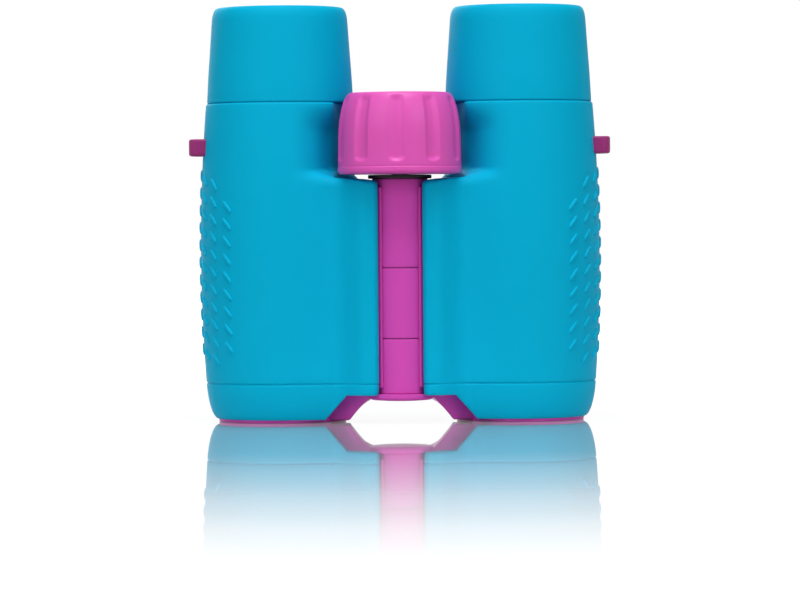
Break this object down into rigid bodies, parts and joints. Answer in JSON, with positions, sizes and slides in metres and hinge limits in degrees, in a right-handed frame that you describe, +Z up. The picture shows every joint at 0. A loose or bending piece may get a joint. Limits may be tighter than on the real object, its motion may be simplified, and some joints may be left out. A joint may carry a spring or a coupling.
{
  "type": "toy binoculars",
  "caption": "Children's roof-prism binoculars with rubber armour, a folding centre hinge, a fluted focus knob, soft eyecups and strap loops.",
  "frame": {"origin": "on the surface that the front rims stand on, under the middle of the whole part", "axes": "+Z up along the optical axes towards the eyecups, +X from the left barrel to the right one as pictured, -Y towards the side with the hinge and the focus knob"},
  "size_m": [0.103, 0.0482, 0.1012],
  "materials": {
    "blue_rubber": "soft matte",
    "pink_plastic": "satin",
    "black_plastic": "matte",
    "lens_glass": "coated",
    "steel": "plain",
    "brass": "turned"
  },
  "bodies": {
    "left_barrel": {"left_chassis": "pink_plastic", "left_armour": "blue_rubber", "left_band": "blue_rubber", "left_strap_loop": "pink_plastic", "left_prism_housing": "black_plastic", "left_roof_prism": "lens_glass", "left_half_penta_prism": "lens_glass", "left_prism_screws": "steel", "left_eyecup": "blue_rubber", "left_eyepiece_tube": "black_plastic", "left_eye_lens": "lens_glass", "left_eyepiece_ring": "black_plastic", "left_field_lens": "lens_glass", "left_field_stop": "black_plastic", "hinge_tube": "steel", "hinge_cap": "pink_plastic", "hinge_washers": "black_plastic", "focus_washer": "black_plastic"},
    "right_barrel": {"right_chassis": "pink_plastic", "right_armour": "blue_rubber", "right_band": "blue_rubber", "right_strap_loop": "pink_plastic", "right_prism_housing": "black_plastic", "right_roof_prism": "lens_glass", "right_half_penta_prism": "lens_glass", "right_prism_screws": "steel"},
    "focus_knob": {"focus_knob": "pink_plastic", "knob_cap": "pink_plastic", "knob_screw": "steel", "focus_spindle": "brass"},
    "left_focus": {"left_focus_arm": "steel", "left_objective_cell": "black_plastic", "left_objective_lens": "lens_glass", "left_objective_ring": "black_plastic", "focus_nut": "brass"},
    "right_focus": {"right_focus_arm": "steel", "right_objective_cell": "black_plastic", "right_objective_lens": "lens_glass", "right_objective_ring": "black_plastic"},
    "right_eyecup": {"right_eyecup": "blue_rubber"},
    "right_eyepiece": {"right_eyepiece_tube": "black_plastic", "right_eye_lens": "lens_glass", "right_eyepiece_ring": "black_plastic", "right_field_lens": "lens_glass", "right_field_stop": "black_plastic"}
  },
  "joints": [
    {"name": "barrel_fold", "type": "hinge", "parent": "left_barrel", "child": "right_barrel", "pos_m": [0, -0.0091, 0.029], "axis": [0, 0, 1], "range_deg": [-12, 32]},
    {"name": "focus_turn", "type": "hinge", "parent": "left_barrel", "child": "focus_knob", "pos_m": [0, -0.0091, 0.07], "axis": [0, 0, 1], "range_deg": [-270, 270]},
    {"name": "left_focus_slide", "type": "slide", "parent": "left_barrel", "child": "left_focus", "axis": [0, 0, 1], "range_m": [-0.0015, 0.0015]},
    {"name": "right_focus_slide", "type": "slide", "parent": "right_barrel", "child": "right_focus", "axis": [0, 0, 1], "range_m": [-0.0015, 0.0015]},
    {"name": "diopter_turn", "type": "hinge", "parent": "right_barrel", "child": "right_eyecup", "pos_m": [0.0292, 0.0044, 0.09], "axis": [0, 0, 1], "range_deg": [-45, 45]},
    {"name": "diopter_slide", "type": "slide", "parent": "right_barrel", "child": "right_eyepiece", "axis": [0, 0, 1], "range_m": [-0.0006, 0.0006]}
  ],
  "couplings": [
    {"joint": "left_focus_slide", "follows": "focus_turn", "m_per_rad": -0.0003183},
    {"joint": "right_focus_slide", "follows": "focus_turn", "m_per_rad": -0.0003183},
    {"joint": "diopter_slide", "follows": "diopter_turn", "m_per_rad": 0.0007639}
  ]
}
